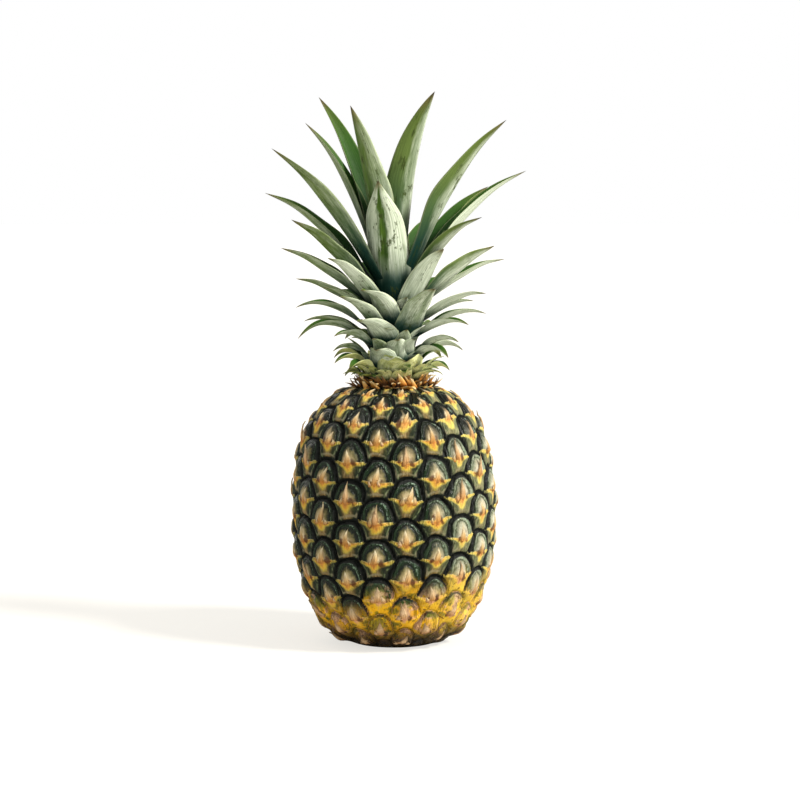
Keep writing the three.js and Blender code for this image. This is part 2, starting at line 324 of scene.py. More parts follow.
def make_shells(name, shells, grid, fields, finish, replaced=()):
    """A piece of closed shells, each a front and a back on the same grid. The fields are spread
    over all their points."""
    one = shells[0].reshape(-1, 3)
    single = facing_out(one - one.mean(0), shell_faces(*grid))
    quads = (single[None] + np.arange(len(shells))[:, None, None] * len(one)).reshape(-1, 4)
    shape = shells.shape[:-1]
    fields = {field: np.broadcast_to(values, shape) for field, values in fields.items()}
    make_piece(name, shells.reshape(-1, 3), quads, fields, finish, replaced)


# Materials

def rgb(code):
    """The colour of a web code, as Blender's linear values."""
    values = [int(code[i:i + 2], 16) / 255 for i in (0, 2, 4)]
    return tuple(v / 12.92 if v <= 0.04045 else ((v + 0.055) / 1.055) ** 2.4 for v in values) + (1.0,)


class Finish:
    """A material whose nodes are added one call at a time. Each call gives back the node's
    output, which the next calls take as an input."""

    def __init__(self, name):
        self.material = bpy.data.materials.new(name)
        self.material.use_nodes = True
        self.tree = self.material.node_tree
        self.shader = self.tree.nodes["Principled BSDF"]
        self.place = self.add("TexCoord", {}).outputs["Object"]

    def put(self, socket, value):
        if isinstance(value, bpy.types.NodeSocket):
            self.tree.links.new(value, socket)
        else:
            socket.default_value = value

    def add(self, kind, inputs):
        """A new node and its inputs, by their names or numbers."""
        node = self.tree.nodes.new("ShaderNode" + kind)
        for name, value in inputs.items():
            self.put(node.inputs[name], value)
        return node

    def field(self, name):
        node = self.add("Attribute", {})
        node.attribute_name = name
        return node.outputs["Fac"]

    def fields(self, *names):
        return [self.field(name) for name in names]

    def maths(self, operation, a, b=0.0):
        node = self.add("Math", {0: a, 1: b})
        node.operation = operation
        return node.outputs[0]

    def times(self, a, b):
        return self.maths("MULTIPLY", a, b)

    def plus(self, a, b):
        return self.maths("ADD", a, b)

    def vary(self, value, noise, amount):
        """The value moved up or down by a noise around its middle, times the amount."""
        return self.plus(value, self.times(self.maths("SUBTRACT", noise, 0.5), amount))

    def step(self, value, start, end, low=0.0, high=1.0):
        """Goes from low, where the value is at start, to high, where it is at end."""
        node = self.add("MapRange", {
            "Value": value, "From Min": start, "From Max": end, "To Min": low, "To Max": high,
        })
        node.interpolation_type = "SMOOTHSTEP"
        return node.outputs[0]

    def band(self, value, middle, outer, inner):
        """1 where the value is within inner of the middle, and 0 where it is outer or more away."""
        away = self.maths("ABSOLUTE", self.maths("SUBTRACT", value, middle))
        return self.step(away, outer, inner)

    def height(self):
        """Metres above the floor."""
        return self.add("SeparateXYZ", {0: self.place}).outputs["Z"]

    def noise(self, vector, scale, detail, roughness):
        return self.add("TexNoise", {
            "Vector": vector, "Scale": scale, "Detail": detail, "Roughness": roughness,
        }).outputs["Fac"]

    def streaks(self, across, along, tone, stretch, scale, detail, roughness):
        """Noise on a piece's own coordinates, stretched by three amounts, and different for
        each tone."""
        parts = [self.times(value, amount) for value, amount in zip((across, along, tone), stretch)]
        place = self.add("CombineXYZ", dict(enumerate(parts))).outputs[0]
        return self.noise(place, scale, detail, roughness)

    def ramp(self, factor, stops):
        """A colour ramp through the stops, each a place and a web code."""
        node = self.add("ValToRGB", {0: factor})
        elements = node.color_ramp.elements
        while len(elements) < len(stops):
            elements.new(1.0)
        for element, (place, code) in zip(elements, stops):
            element.position = place
            element.color = rgb(code)
        return node.outputs["Color"]

    def curve(self, value, points):
        """A smooth curve through the points, each a place and a value."""
        node = self.add("FloatCurve", {"Value": value})
        line = node.mapping.curves[0].points
        while len(line) < len(points):
            line.new(0.5, 0.5)
        for knot, (place, level) in zip(line, points):
            knot.location = (place, level)
            knot.handle_type = "AUTO_CLAMPED"
        node.mapping.update()
        return node.outputs[0]

    def blend(self, factor, a, b):
        """From colour a, where the factor is 0, to colour b, where it is 1."""
        node = self.add("Mix", {0: factor})
        node.data_type = "RGBA"
        for socket, colour in ((node.inputs[6], a), (node.inputs[7], b)):
            self.put(socket, rgb(colour) if isinstance(colour, str) else colour)
        return node.outputs[2]

    def shade(self, colour, factor, low, high):
        """The colour made darker or lighter: it is multiplied by low where the factor is 0.25 or
        less, and by high where it is 0.75 or more."""
        node = self.add("VectorMath", {0: colour})
        node.operation = "SCALE"
        self.put(node.inputs["Scale"], self.step(factor, 0.25, 0.75, low, high))
        return node.outputs[0]

    def bump(self, height, distance, strength):
        node = self.add("Bump", {"Height": height, "Distance": distance, "Strength": strength})
        self.put(self.shader.inputs["Normal"], node.outputs["Normal"])

    def done(self, colour, roughness, specular=0.5):
        self.put(self.shader.inputs["Base Color"], colour)
        self.put(self.shader.inputs["Roughness"], roughness)
        self.shader.inputs["Specular IOR Level"].default_value = specular
        return self.material


def rind_finish():
    """Rind: each eye has a cream and brown dome in a dark glossy ring, and over both a star of
    four points, orange in the middle and yellow outwards, with two brown smudges beside its top
    point and a near-black groove round the eye, partly the seam's own dark and partly painted
    shade in the recess. A thin pale arc on each ring, strongest at its upper right, is a painted
    highlight. On the right side, which faces the light, the eyes are painted paler and the rings
    grey-green: painted light. Near the base all turns golden, and green is left only at the tops
    of the rings; the lowest part is painted darker, as painted shade near the floor."""
    f = Finish("pineapple_rind")
    dome, star, above, side_place = f.fields("dome", "star", "above", "across")
    ripe, pale, young, tone = f.fields("ripe", "pale", "young", "tone")
    across = f.maths("ABSOLUTE", side_place)
    below = f.times(star, -1.0)
    mottle = f.noise(f.place, 300, 4, 0.65)
    patch = f.noise(f.place, 120, 3, 0.6)
    grain = f.noise(f.place, 1100, 3, 0.6)
    streak = f.streaks(side_place, star, tone, (11.0, 0.16, 37.0), 1.6, 4, 0.65)
    rough_edge = f.vary(f.times(f.maths("SUBTRACT", mottle, 0.5), 0.24), streak, 0.16)
    # Dome and ring
    ring_place = f.plus(f.times(dome, 0.5), rough_edge)
    shaded = f.ramp(ring_place, [
        (0.0, "ead8b0"), (0.16, "d6c094"), (0.29, "b29e72"), (0.39, "70683e"), (0.46, "2c3218"),
        (0.50, "0a1207"), (0.58, "142c14"), (0.65, "122610"), (0.76, "070c05"), (1.0, "040703"),
    ])
    # Painted light: the eye's colours made paler, for the side of the fruit that faces the light
    lit_eye = f.ramp(ring_place, [
        (0.0, "f8eed6"), (0.24, "ece2c8"), (0.40, "cccab0"), (0.48, "9a9e80"), (0.53, "465036"),
        (0.575, "a4ac90"), (0.63, "98a286"), (0.69, "3a4630"), (0.75, "0e140a"), (1.0, "050905"),
    ])
    golden = f.ramp(ring_place, [
        (0.0, "e8bc98"), (0.20, "e0ac80"), (0.33, "e6a848"), (0.45, "e8ac14"),
        (0.58, "fabe08"), (0.76, "eeb006"), (0.88, "98900c"), (1.0, "566008"),
    ])
    green_top = f.ramp(ring_place, [
        (0.3, "b89a3c"), (0.46, "5c6a1c"), (0.62, "24441a"), (0.74, "122c10"), (0.9, "081406"),
    ])
    green_from = f.plus(above, f.times(tone, 0.24))
    green_from = f.vary(green_from, patch, 0.9)
    green_from = f.plus(green_from, f.step(f.height(), 0.010, 0.042, -0.12, 0.26))
    golden = f.blend(f.step(green_from, 0.46, 0.72), golden, green_top)
    # Painted light: golden eyes brighter on the side that faces the light
    golden = f.blend(f.times(pale, 0.75), golden, "ffdc60")
    clouds = f.noise(f.place, 125, 4, 0.62)
    tan = f.ramp(streak, [(0.3, "a86c3c"), (0.7, "f0c49c")])
    golden = f.blend(f.step(clouds, 0.51, 0.58, 0.0, 0.85), golden, tan)
    olive = f.ramp(streak, [(0.3, "464e10"), (0.7, "98901c")])
    golden = f.blend(f.step(clouds, 0.46, 0.39, 0.0, 0.80), golden, olive)
    lit_eye = f.shade(lit_eye, f.noise(f.place, 620, 3, 0.6), 0.72, 1.10)
    # Painted light: towards the light the eyes and rings take the paler colours
    eye = f.blend(pale, shaded, lit_eye)
    brown = f.ramp(streak, [(0.3, "4c3c24"), (0.7, "9c845a")])
    eye = f.blend(f.step(patch, 0.52, 0.70, 0.0, 0.45), eye, brown)
    ring = f.ramp(ring_place, [(0.5, "0a1207"), (0.57, "152c12"), (0.66, "12260e"), (0.78, "060a05")])
    ring = f.blend(pale, ring, lit_eye)
    eye = f.blend(f.step(ring_place, 0.42, 0.50), eye, ring)
    eye = f.blend(f.times(young, f.step(ring_place, 0.12, 0.34)), eye, "0e140a")
    # A painted highlight: a thin pale arc along each ring, strongest at its upper right
    line = f.vary(ring_place, patch, 0.05)
    line = f.band(line, 0.61, 0.034, 0.010)
    line = f.times(line, f.step(side_place, -0.12, 0.26, 0.05, 0.80))
    line = f.times(line, f.step(mottle, 0.42, 0.58))
    eye = f.blend(line, eye, "829c82")
    eye = f.blend(ripe, eye, golden)
    eye = f.shade(eye, streak, 0.66, 1.20)
    # Skirt under the star
    flank = f.ramp(f.plus(f.times(streak, 0.6), f.times(mottle, 0.4)), [
        (0.34, "080f06"), (0.48, "1c2610"), (0.60, "383e1c"), (0.72, "66643c"),
    ])
    # Painted light: a paler skirt for the side that faces the light
    pale_flank = f.ramp(streak, [(0.3, "3a4228"), (0.5, "7c8058"), (0.7, "b8b48a")])
    gold_flank = f.ramp(f.plus(f.times(patch, 0.6), f.times(mottle, 0.4)), [
        (0.37, "3e4a10"), (0.45, "9c840e"), (0.51, "f4b40e"), (0.58, "ffc818"), (0.67, "dca068"),
    ])
    # Painted light: golden skirts brighter on the side that faces the light
    gold_flank = f.blend(f.times(pale, 0.75), gold_flank, "ffdc50")
    under = f.ramp(streak, [(0.3, "4a3e1e"), (0.5, "80683c"), (0.7, "ac9464")])
    x = f.times(across, COLUMN_WIDTH)
    narrowing = f.plus(f.times(mottle, 2.6), f.times(below, 0.2))
    flank = f.blend(f.step(f.plus(x, narrowing), 6.8, 3.6), flank, under)
    skirt = f.blend(f.times(pale, 0.8), flank, pale_flank)
    # Seams that slant down from the arms to the foot, and the dark skin outside them
    seam = f.plus(x, f.times(below, 0.5))
    seam = f.vary(seam, patch, 2.4)
    skirt = f.blend(f.step(seam, 8.6, 9.8, 0.0, 0.92), skirt, "0a1208")
    seam = f.band(seam, 8.5, 0.65, 0.20)
    seam = f.times(seam, f.step(mottle, 0.42, 0.58))
    skirt = f.blend(f.times(seam, 0.6), skirt, "76845c")
    skirt = f.blend(ripe, skirt, gold_flank)
    # Star
    y = f.plus(f.times(above, PITCH), 0.7 - STAR_UP * PITCH)
    turn = f.maths("DIVIDE", f.maths("ARCTAN2", x, y), math.pi)
    far = f.maths("SQRT", f.plus(f.times(x, x), f.times(y, y)))
    far = f.maths("DIVIDE", f.maths("DIVIDE", far, STAR_UNIT), f.curve(turn, STAR_OUTLINE))
    far = f.vary(far, mottle, 0.7)
    far = f.vary(far, streak, 0.5)
    lower = f.ramp(f.times(far, 0.8), [
        (0.06, "bc742c"), (0.26, "cc8c3e"), (0.44, "dcaa3c"), (0.60, "d0b042"), (0.78, "a49c42"),
        (1.0, "5c6430"),
    ])
    arm = f.ramp(streak, [(0.3, "5c5c26"), (0.7, "a8a450")])
    lower = f.blend(f.step(x, 4.4, 8.0, 0.0, 0.7), lower, arm)
    # Painted light: a paler star for the side that faces the light; near the top the stars are paler
    # too
    pale_lower = f.ramp(f.times(far, 0.8), [
        (0.06, "cc8440"), (0.26, "e0ac60"), (0.46, "e4c25e"), (0.66, "d8c868"), (0.84, "b0b068"),
        (1.0, "848c5c"),
    ])
    gold_lower = f.ramp(f.times(far, 0.8), [
        (0.06, "dc9c70"), (0.26, "e8b084"), (0.46, "f0b850"), (0.66, "fcc820"), (0.84, "f4b80c"),
        (1.0, "d09c08"),
    ])
    lower = f.blend(f.step(f.plus(pale, f.times(young, 0.55)), 0.0, 1.0), lower, pale_lower)
    lower = f.blend(ripe, lower, gold_lower)
    upper = f.ramp(f.times(far, 0.8), [(0.1, "dca860"), (0.4, "e6c894"), (0.8, "e8d8b0")])
    upper = f.blend(ripe, upper, "e4b494")
    light = f.blend(f.step(star, 0.2, 2.2), lower, upper)
    light = f.shade(light, streak, 0.78, 1.14)
    bright = f.step(far, 1.12, 0.72)
    bright = f.times(bright, f.step(star, 5.5, 1.5, 0.25, 1.0))
    colour = f.blend(f.step(star, 0.5, -0.35), eye, skirt)
    colour = f.blend(bright, colour, light)
    # Smudges, grooves, and painted shade near the floor
    spots = f.vary(f.field("spot"), mottle, 4.5)
    spots = f.vary(spots, patch, 3.0)
    colour = f.blend(f.step(spots, 2.5, 0.9, 0.0, 0.90), colour, "4a2208")
    freckle = f.noise(f.place, 420, 2, 0.5)
    freckled = f.times(f.step(freckle, 0.62, 0.70), f.times(ripe, 0.85))
    colour = f.blend(freckled, colour, "5c2c0c")
    crack = f.vary(f.field("groove"), mottle, 0.7)
    rim = f.band(crack, 2.2, 0.7, 0.2)
    rim = f.times(rim, f.step(below, 4.0, 6.5))
    rim = f.times(rim, f.step(patch, 0.42, 0.58))
    rim = f.times(rim, f.step(ripe, 0.8, 0.1))
    colour = f.blend(f.times(rim, 0.6), colour, "948c6c")
    # The near-black groove is partly the seam's own dark and partly painted shade in the recess
    dark = f.step(crack, 1.42, 0.90)
    soft = f.step(f.height(), 0.012, 0.046, 0.30, 0.9)
    soft = f.maths("MAXIMUM", soft, f.step(ripe, 1.0, 0.2))
    over_arch = f.maths("MAXIMUM", f.step(above, 0.1, 0.5, 0.45, 1.0), f.step(ripe, 1.0, 0.2))
    soft = f.times(soft, over_arch)
    colour = f.blend(f.times(dark, soft), colour, "060b05")
    # Painted shade: from about 2 cm above the floor down, the rind is painted near-black brown
    base_shade = f.vary(f.height(), patch, 0.006)
    colour = f.blend(f.step(base_shade, 0.0205, 0.0055, 0.0, 0.95), colour, "120c06")
    stalk = f.ramp(f.noise(f.place, 420, 4, 0.7), [(0.3, "5a3c20"), (0.5, "a88450"), (0.7, "d2b67e")])
    colour = f.blend(f.field("scar"), colour, stalk)
    # Gloss and relief
    rough = f.step(ring_place, 0.38, 0.54, 0.50, 0.20)
    rough = f.plus(rough, f.step(star, 0.5, -0.4, 0.0, 0.28))
    rough = f.plus(rough, f.times(dark, 0.35))
    rough = f.vary(rough, grain, 0.3)
    rings = f.maths("SINE", f.times(f.plus(dome, f.times(patch, 0.4)), 26.0))
    rings = f.times(rings, f.step(ring_place, 0.46, 0.56, 0.05, 0.35))
    relief = f.plus(f.plus(streak, f.times(grain, 0.45)), rings)
    f.bump(f.plus(relief, f.times(mottle, 0.9)), 0.0009, 0.75)
    return f.done(colour, rough, 0.28)


def bract_finish():
    """Dry bract tips: orange-brown at the foot and cream above, tan at the edges like the dome
    they lie on, with a brown withered point and uneven streaks along them."""
    f = Finish("dry_bract_tips")
    along, across, tone = f.fields("along", "across", "tone")
    streak = f.streaks(across, along, tone, (3.6, 1.1, 41.0), 1.5, 4, 0.65)
    mottle = f.noise(f.place, 420, 3, 0.6)
    place = f.vary(along, streak, 0.45)
    fresh = f.ramp(place, [
        (0.0, "b87830"), (0.20, "cc9048"), (0.40, "d6aa6c"), (0.62, "dcc08c"), (0.86, "e8dcb8"),
        (1.0, "a08c5c"),
    ])
    withered = f.ramp(place, [
        (0.0, "c48444"), (0.25, "dca870"), (0.55, "e6c49c"), (0.80, "a87c50"), (1.0, "4a2c18"),
    ])
    colour = f.blend(f.field("dry"), fresh, withered)
    edge = f.vary(f.maths("ABSOLUTE", across), mottle, 0.9)
    rim = f.ramp(along, [(0.15, "7c4c20"), (0.5, "a08258"), (0.9, "a89470")])
    colour = f.blend(f.step(edge, 0.35, 0.95, 0.0, 0.85), colour, rim)
    cracked = f.noise(f.place, 520, 3, 0.6)
    colour = f.blend(f.step(cracked, 0.60, 0.70, 0.0, 0.7), colour, "6c4420")
    colour = f.shade(colour, streak, 0.62, 1.14)
    f.bump(f.plus(streak, f.times(mottle, 0.4)), 0.0006, 0.9)
    return f.done(colour, 0.7, 0.25)


def collar_finish():
    """Collar bracts: withered dark brown and orange, with pale cream points here and there."""
    f = Finish("dry_collar")
    along, across, tone = f.fields("along", "across", "tone")
    streak = f.streaks(across, along, tone, (3.0, 1.5, 53.0), 1.6, 3, 0.6)
    place = f.plus(f.times(along, 0.7), f.times(streak, 0.5))
    brown = f.ramp(place, [
        (0.15, "140a04"), (0.4, "46280f"), (0.6, "7c5226"), (0.8, "6c5030"), (1.0, "2c1c10"),
    ])
    bright = f.ramp(place, [
        (0.15, "7c3812"), (0.4, "d48a34"), (0.65, "eebc6c"), (0.85, "f4deaa"), (1.0, "a88454"),
    ])
    colour = f.blend(f.step(tone, 0.35, 0.75), brown, bright)
    f.bump(streak, 0.0004, 0.8)
    return f.done(colour, 0.7, 0.3)


def leaf_finish(name, foot, middle, upper, bloom_from, bloom_full, bloom_colours):
    """Leaf skin: a waxy grey-green outside and a greener inside, fine lines along it, a green
    middle stripe, darker blotches, a dark teal foot that is partly its own colour and partly painted
    shade under the lower leaves, and a dry brown tip."""
    f = Finish(name)
    along, side_place, tone, pale = f.fields("along", "across", "tone", "pale")
    across = f.maths("ABSOLUTE", side_place)
    fine = f.streaks(side_place, along, tone, (14.0, 2.2, 31.0), 1.6, 3, 0.6)
    broad = f.streaks(side_place, along, tone, (2.6, 4.2, 47.0), 1.5, 4, 0.6)
    place = f.vary(along, broad, 0.16)
    # The dark teal foot is partly painted shade under the lower leaves
    outer = f.ramp(place, [
        (0.0, foot), (0.20, "1c4036"), (0.38, middle), (0.60, upper), (0.84, "607432"),
        (0.95, "70683c"), (1.0, "40342a"),
    ])
    inner = f.ramp(place, [
        (0.0, "0c1f17"), (0.18, "122e1e"), (0.42, "204414"), (0.70, "365c1a"), (0.90, "4c6024"),
        (0.96, "5c5234"), (1.0, "362c22"),
    ])
    # The bloom follows the pale field, which is partly painted light
    bloom = f.vary(pale, broad, 0.9)
    bloom = f.step(bloom, 0.05, 0.95)
    bloom = f.times(bloom, f.step(place, bloom_from, bloom_full))
    bloom = f.times(bloom, f.step(along, 0.99, 0.82))
    outer = f.blend(bloom, outer, f.ramp(fine, bloom_colours))
    middle_line = f.vary(across, broad, 0.5)
    middle_line = f.vary(middle_line, fine, 0.25)
    stripe = f.times(f.step(middle_line, 0.32, 0.10), f.field("stripe"))
    stripe = f.times(stripe, f.step(place, 0.16, 0.36))
    stripe = f.times(stripe, f.step(along, 0.99, 0.88))
    outer = f.blend(stripe, outer, f.ramp(fine, [(0.3, "2c4c14"), (0.7, "5c7c2c")]))
    blots = f.streaks(side_place, along, tone, (2.2, 5.5, 71.0), 1.5, 5, 0.72)
    blot = f.times(f.step(blots, 0.55, 0.63), f.field("blotch"))
    blot = f.times(blot, f.step(across, 0.95, 0.5))
    outer = f.blend(blot, outer, "3e4c1e")
    inner = f.blend(f.times(blot, 0.6), inner, "1c3812")
    colour = f.blend(f.field("outside"), inner, outer)
    colour = f.shade(colour, fine, 0.84, 1.12)
    edge = f.times(f.step(across, 0.90, 0.98), f.step(along, 0.1, 0.3))
    colour = f.blend(f.times(edge, 0.3), colour, "b4bc88")
    rough = f.step(fine, 0.2, 0.8, 0.42, 0.62)
    f.bump(f.times(fine, f.step(along, 1.0, 0.5)), 0.0005, 0.65)
    return f.done(colour, rough, 0.14)


def stem_shade_finish():
    """Crown stem: dark mottled green, as painted shade where it shows between the leaf bases."""
    f = Finish("crown_stem_shade")
    rings = f.noise(f.place, 300, 4, 0.6)
    colour = f.ramp(rings, [(0.3, "1a2614"), (0.5, "3c4a28"), (0.7, "66704a")])
    f.bump(rings, 0.0006, 0.8)
    return f.done(colour, f.step(rings, 0.3, 0.7, 0.5, 0.75))


# Rind

def eye_fields(theta, s):
    """Where points of the skin lie in the eyes. Each eye has its star at a corner of a slanting
    lattice. Over its star stands an arch, and under it hangs a skirt that the arches of the
    three eyes below cut off. Across is in column widths and above in pitches, both from the
    star."""
    u = (theta - FIRST_COLUMN) / COLUMN_ANGLE
    across, above, column, row = [], [], [], []
    for right in (0, 1):
        k = np.floor(u) + right
        v = (s - FIRST_STAR) / PITCH + k * STEPS_DOWN / COLUMNS
        for up in (0, 1):
            j = np.floor(v) + up
            across.append(u - k)
            above.append(v - j)
            column.append(k)
            row.append(j)
    across, above, column, row = (np.array(values) for values in (across, above, column, row))
    width = np.abs(across)
    lift = np.maximum(above, 0)
    star_line = STAR_UP - 0.03 + 0.06 * (width / 0.55) ** 2
    arch = ((width / ARCH_WIDTH) ** ARCH_POWER + (lift / ARCH_HEIGHT) ** ARCH_POWER) ** (1 / ARCH_POWER)
    dome = ((width / DOME_WIDTH) ** ARCH_POWER + (lift / DOME_HEIGHT) ** ARCH_POWER) ** (1 / ARCH_POWER)
    in_arch = (above >= star_line) & (arch < 1)
    in_skirt = (above < star_line) & (width < SKIRT_WIDTH)
    arch_owner = np.where(in_arch, above, -9).argmax(0)
    skirt_owner = np.where(in_skirt, above, -9).argmax(0)
    arched = in_arch.any(0)
    owner = np.where(arched, arch_owner, skirt_owner)[None]

    def of_owner(values):
        return np.take_along_axis(values, owner, 0)[0]

    in_front = (above > of_owner(above)) & (above >= star_line - 0.12)
    groove = np.where(in_front, np.abs(arch - 1) * ARCH_SIZE, 99).min(0)
    groove = np.minimum(groove, np.where(arched, (1 - of_owner(arch)) * ARCH_SIZE, 99))
    k = of_owner(column)
    j = of_owner(row)
    turns = np.floor(k / COLUMNS)
    return {
        "across": of_owner(across),
        "above": of_owner(above),
        "star": of_owner(above - star_line) * PITCH,
        "dome": of_owner(dome),
        "groove": np.minimum(groove, 8),
        "column": (k - COLUMNS * turns).astype(int),
        "row": (j - STEPS_DOWN * turns).astype(int),
    }


rng = np.random.default_rng(SEED)
eye_random = rng.random((COLUMNS, EYE_ROWS, 6))


def eye_chance(column, row, which):
    """A number from 0 to 1 that is the same all over one eye."""
    return eye_random[column, np.clip(row - LOWEST_ROW, 0, EYE_ROWS - 1), which]


def ripeness(theta, z, chance):
    """0 where the rind is green and 1 where it is golden, near the base."""
    return ease((47 + 16 * (chance - 0.5) + 9 * np.sin(theta - 0.35) - z) / 22)


def lit_side_paleness(theta, chance):
    """Painted light: 0 on the fruit's shaded side and up to 1 on its right side, towards the light,
    where the eyes are painted paler.
    """
    return ease((np.cos(theta - math.radians(82)) - 0.42) / 0.42) * (0.72 + 0.28 * chance)


def waves(theta, s, count, size, seed):
    """Gentle lumps: a sum of sine waves that run round the fruit a whole number of times."""
    draw = np.random.default_rng(seed)
    total = np.zeros(np.broadcast(theta, s).shape)
    for _ in range(count):
        around = draw.integers(-26, 27)
        along = draw.uniform(-1, 1) * 0.45
        total = total + np.sin(around * theta + along * s + draw.uniform(0, 2 * math.pi))
    return total * size / math.sqrt(count)


def sway(theta, s):
    """How far the eyes stray from the even lattice: an angle and a length."""
    return waves(theta, s, 10, 0.011, 11), waves(theta, s, 10, 0.75, 12)


def skin_height(theta, s):
    """The skin's height over the smooth outline and its eye fields. Grooves cut in along the
    arches. The dome swells inside its ring, and the skirt has a raised lip along the star."""
    turn, slide = sway(theta, s)
    eye = eye_fields(theta + turn, s + slide)
    chance = eye_chance(eye["column"], eye["row"], 0)
    width = np.abs(eye["across"])
    over = eye["star"] >= 0
    steep = 0.45 + 0.55 * ease((SIDE_LENGTH - 6 - s) / 30)
    below = np.maximum(-eye["star"], 0)
    inside = np.clip(1 - eye["dome"] ** 2, 0, 1)
    ripe = ripeness(theta, np.interp(s, even_s, even_z), eye_chance(eye["column"], eye["row"], 1))
    groove_cut = -2.8 * (1 - 0.45 * ripe) * np.exp(-eye["groove"] / 1.0)
    crease = -0.6 * np.exp(-(((eye["dome"] - 1.04) / 0.13) ** 2))
    ring = 0.45 * np.exp(-(((eye["dome"] - 1.28) / 0.16) ** 2))
    tuck = -0.5 * np.exp(-np.maximum(eye["star"], 0) / 1.3) * (width < 0.5)
    dome_form = 1.35 * inside**0.85 + crease + ring + tuck + 0.2 + 0.35 * chance
    lip = 1.5 * np.exp(-below / 3.6) * (1 - 0.6 * (width / SKIRT_WIDTH) ** 2)
    keel = 0.35 * np.exp(-((eye["across"] / 0.07) ** 2)) * np.exp(-below / 5)
    skirt_form = lip + keel - 0.4
    lopsided = eye_chance(eye["column"], eye["row"], 4) - 0.5
    spot_across = (width - 0.185 - 0.03 * (chance - 0.5)) * COLUMN_WIDTH
    spot_up = eye["star"] - 0.9 + 0.6 * spot_across - 1.4 * lopsided * np.sign(eye["across"])
    weaker = 2.2 * np.abs(lopsided) * (eye["across"] * lopsided > 0)
    eye["spot"] = np.hypot(spot_across, spot_up * 0.8) + weaker
    pits = -0.4 * np.exp(-((eye["spot"] / 1.1) ** 2))
    height = (np.where(over, dome_form, skirt_form) + groove_cut + pits) * steep
    height = height - 0.25 + 0.8 * (chance - 0.5) + waves(theta, s, 14, 0.22, 5)
    fade = ease((s - 0.5) / 9) * ease((SIDE_LENGTH - 1 - s) / 8)
    return between(-0.3, height, fade), eye


def make_rind():
    """The rind on a grid of angle by length along the outline, closed by a fan at each pole.
    Under the base the skin is flat, with the cut stalk's scar drawn in a little."""
    up_side, around = RIND_GRID
    base_s = -BASE_RADIUS + np.array([2, 5, 8, 10.5, 12.2, 13.6, 16, 19, 22.5])
    side_s = np.linspace(0, SIDE_LENGTH, up_side)
    top_s = SIDE_LENGTH + np.array([4, 10, 16, 20])
    s = np.concatenate([base_s, side_s, top_s])[:, None]
    theta = np.linspace(0, 2 * math.pi, around, endpoint=False)[None, :]
    height, eye = skin_height(theta, s)
    height = np.where(s < 0, 0, height)
    points = skin_place(theta + 0 * s, s + 0 * theta, height)
    radius = BASE_RADIUS + s
    hollow = 0.9 * ease((21 - radius) / 6) + 0.25 * np.sin(radius * 3.1) * (radius < SCAR_RADIUS)
    hollow = hollow + 0.2 * np.sin(theta * 17 + radius) * (radius < SCAR_RADIUS)
    points[..., 2] = np.where(s < 0, hollow, np.maximum(points[..., 2], 0))
    rows = len(s)
    flat = np.vstack([points.reshape(-1, 3), [[0, 0, 1.0]], [[0, 0, FRUIT_TOP - 0.3]]])
    index = np.arange(rows * around).reshape(rows, around)
    following = np.roll(index, -1, axis=1)
    quads = np.stack([index[:-1], following[:-1], following[1:], index[1:]], -1).reshape(-1, 4)
    foot = rows * around
    fans = [(foot, int(b), int(a)) for a, b in zip(index[0], following[0])]
    fans += [(foot + 1, int(a), int(b)) for a, b in zip(index[-1], following[-1])]
    chance = eye_chance(eye["column"], eye["row"], 1)
    scar = ease((SCAR_RADIUS + 1 - radius) / 2) + 0 * theta
    fields = {name: eye[name] for name in ("dome", "star", "above", "across", "groove", "spot")}
    fields["ripe"] = ripeness(theta, points[..., 2], chance)
    # Painted light: the eyes on the side towards the light are painted paler
    fields["pale"] = lit_side_paleness(theta + 0 * s, chance)
    fields["young"] = ease((points[..., 2] - 112 - 10 * chance) / 16)
    fields["tone"] = chance
    fields["scar"] = scar
    for name, values in fields.items():
        fields[name] = np.append(values.ravel(), values.ravel()[[0, -1]])
    make_piece("rind", flat, quads, fields, rind_finish(), ["fruit"], fans)


# Bract tips

